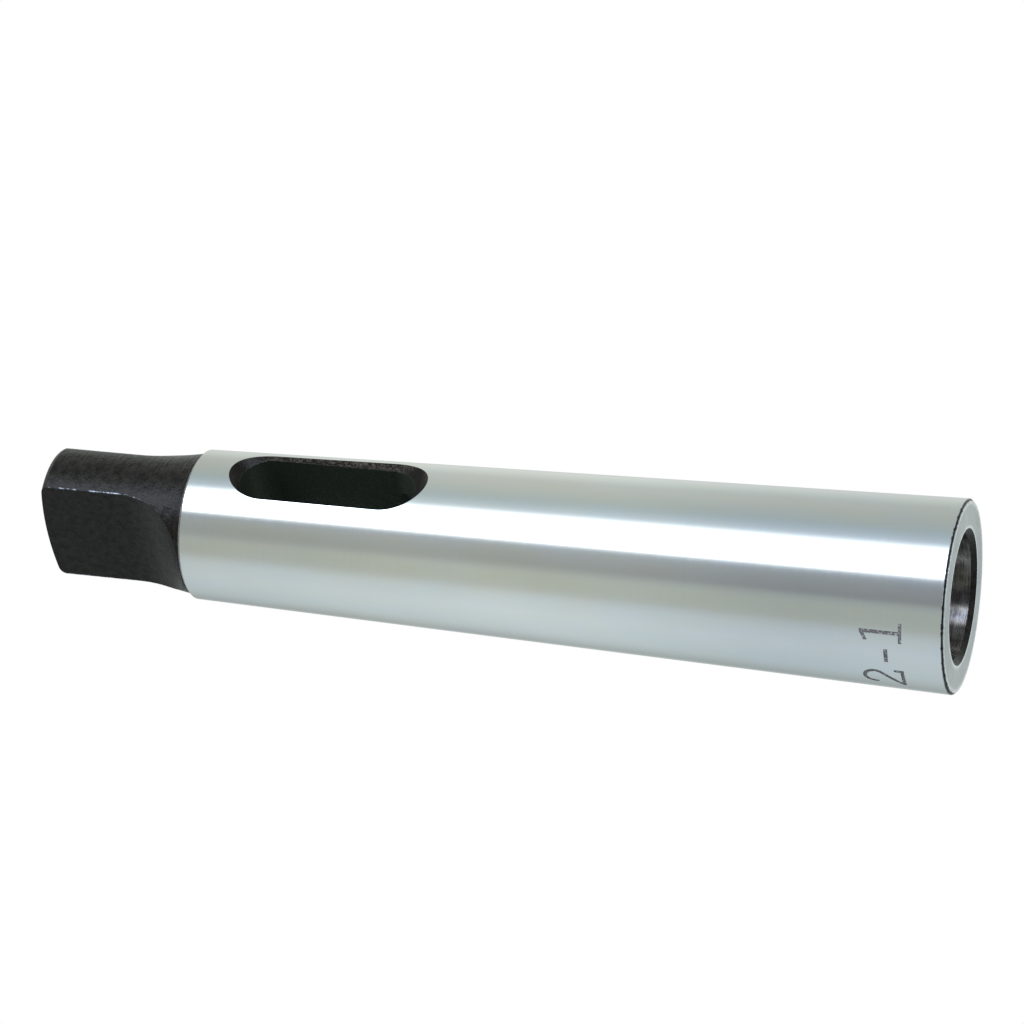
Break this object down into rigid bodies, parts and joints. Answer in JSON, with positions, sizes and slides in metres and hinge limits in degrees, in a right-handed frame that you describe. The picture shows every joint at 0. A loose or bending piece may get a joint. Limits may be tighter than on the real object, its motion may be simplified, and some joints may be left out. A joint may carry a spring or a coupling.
{
  "type": "morse taper sleeve",
  "caption": "Steel reducing sleeve with a ground self-holding taper outside, a smaller taper socket inside, a drift slot and a flat driving tang.",
  "frame": {"origin": "centre of the big end's flat face, on the sleeve's axis", "axes": "+Z along the axis from the big end to the tang, +Y through the drift slot, +X square to the tang's flats"},
  "size_m": [0.0186, 0.0186, 0.0919],
  "materials": {
    "ground_steel": "fine ground steel on the taper and the big end; black oxide on the tang, the neck and inside the slot"
  },
  "bodies": {
    "root": {"sleeve": "ground_steel"}
  },
  "joints": []
}
